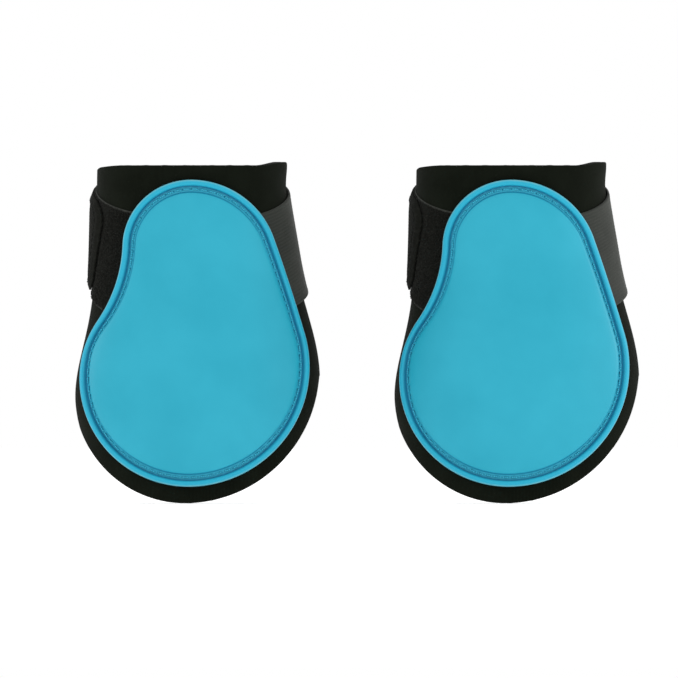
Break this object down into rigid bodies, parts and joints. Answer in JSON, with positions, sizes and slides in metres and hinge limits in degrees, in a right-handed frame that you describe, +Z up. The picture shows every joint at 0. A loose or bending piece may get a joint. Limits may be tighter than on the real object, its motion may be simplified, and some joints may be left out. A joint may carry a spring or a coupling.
{
  "type": "hind fetlock boots",
  "caption": "Pair of hind fetlock boots for a horse: moulded plastic shells stitched over black neoprene liners, each closed by one wide elastic strap with a hook-and-loop end.",
  "frame": {"origin": "on the axis of the left boot's leg opening, level with the boots' lowest edge", "axes": "+Z up the leg, +X from the left boot to the right boot, -Y out through the middle of the shells"},
  "size_m": [0.2826, 0.0853, 0.1708],
  "materials": {
    "shell_blue": "moulded soft plastic, satin",
    "thread_blue": "bonded polyester thread",
    "foam_grey": "closed-cell foam",
    "knit_black": "fine jersey knit",
    "neoprene": "cut foam rubber",
    "lining_black": "brushed knit",
    "loop_pile": "brushed loop pile",
    "elastic": "woven elastic with a soft sheen",
    "hook_tape": "moulded nylon hooks on woven tape",
    "thread_black": "polyester thread"
  },
  "bodies": {
    "left_boot": {"left_shell": "shell_blue", "left_shell_stitching": "thread_blue", "left_shock_pad": "foam_grey", "left_liner_face_front": "knit_black", "left_liner_foam_front": "neoprene", "left_liner_lining_front": "lining_black", "left_loop_pad_front": "loop_pile", "left_strap_anchor": "elastic"},
    "left_loop_wing": {"left_liner_face_loop_wing": "knit_black", "left_liner_foam_loop_wing": "neoprene", "left_liner_lining_loop_wing": "lining_black", "left_loop_pad_wing": "loop_pile", "left_loop_pad_stitching": "thread_black"},
    "left_strap_wing": {"left_liner_face_strap_wing": "knit_black", "left_liner_foam_strap_wing": "neoprene", "left_liner_lining_strap_wing": "lining_black", "left_strap_side": "elastic"},
    "left_strap": {"left_strap_back": "elastic"},
    "left_strap_end": {"left_strap_end": "elastic", "left_hook_patch": "hook_tape", "left_hook_patch_stitching": "thread_black"},
    "right_boot": {"right_shell": "shell_blue", "right_shell_stitching": "thread_blue", "right_shock_pad": "foam_grey", "right_liner_face_front": "knit_black", "right_liner_foam_front": "neoprene", "right_liner_lining_front": "lining_black", "right_loop_pad_front": "loop_pile", "right_strap_anchor": "elastic"},
    "right_loop_wing": {"right_liner_face_loop_wing": "knit_black", "right_liner_foam_loop_wing": "neoprene", "right_liner_lining_loop_wing": "lining_black", "right_loop_pad_wing": "loop_pile", "right_loop_pad_stitching": "thread_black"},
    "right_strap_wing": {"right_liner_face_strap_wing": "knit_black", "right_liner_foam_strap_wing": "neoprene", "right_liner_lining_strap_wing": "lining_black", "right_strap_side": "elastic"},
    "right_strap": {"right_strap_back": "elastic"},
    "right_strap_end": {"right_strap_end": "elastic", "right_hook_patch": "hook_tape", "right_hook_patch_stitching": "thread_black"}
  },
  "joints": [
    {"name": "pair_slide", "type": "slide", "parent": "left_boot", "child": "right_boot", "axis": [1, 0, 0], "range_m": [0, 0.15]},
    {"name": "left_strap_swing", "type": "hinge", "parent": "left_strap_wing", "child": "left_strap", "pos_m": [0.04014, 0.02941, 0.13902], "axis": [0.0618, 0.0808, -0.9948], "range_deg": [0, 100]},
    {"name": "left_loop_wing_flex", "type": "hinge", "parent": "left_boot", "child": "left_loop_wing", "pos_m": [-0.05542, 0, 0.1145], "axis": [0.0972, 0, 0.9953], "range_deg": [0, 28]},
    {"name": "left_strap_wing_flex", "type": "hinge", "parent": "left_boot", "child": "left_strap_wing", "pos_m": [0.05767, 0, 0.1145], "axis": [0.1619, 0, -0.9868], "range_deg": [0, 28]},
    {"name": "left_strap_end_flex", "type": "hinge", "parent": "left_strap", "child": "left_strap_end", "pos_m": [-0.03968, 0.0326, 0.13902], "axis": [-0.0349, 0.0416, -0.9985], "range_deg": [0, 50]},
    {"name": "right_strap_swing", "type": "hinge", "parent": "right_strap_wing", "child": "right_strap", "pos_m": [0.20014, 0.02941, 0.13902], "axis": [0.0618, 0.0808, -0.9948], "range_deg": [0, 100]},
    {"name": "right_loop_wing_flex", "type": "hinge", "parent": "right_boot", "child": "right_loop_wing", "pos_m": [0.10458, 0, 0.1145], "axis": [0.0972, 0, 0.9953], "range_deg": [0, 28]},
    {"name": "right_strap_wing_flex", "type": "hinge", "parent": "right_boot", "child": "right_strap_wing", "pos_m": [0.21767, 0, 0.1145], "axis": [0.1619, 0, -0.9868], "range_deg": [0, 28]},
    {"name": "right_strap_end_flex", "type": "hinge", "parent": "right_strap", "child": "right_strap_end", "pos_m": [0.12032, 0.0326, 0.13902], "axis": [-0.0349, 0.0416, -0.9985], "range_deg": [0, 50]}
  ],
  "couplings": [
    {"joint": "left_loop_wing_flex", "follows": "left_strap_swing", "ratio": 0.28},
    {"joint": "left_strap_wing_flex", "follows": "left_strap_swing", "ratio": 0.28},
    {"joint": "left_strap_end_flex", "follows": "left_strap_swing", "ratio": 0.5},
    {"joint": "right_loop_wing_flex", "follows": "right_strap_swing", "ratio": 0.28},
    {"joint": "right_strap_wing_flex", "follows": "right_strap_swing", "ratio": 0.28},
    {"joint": "right_strap_end_flex", "follows": "right_strap_swing", "ratio": 0.5}
  ]
}
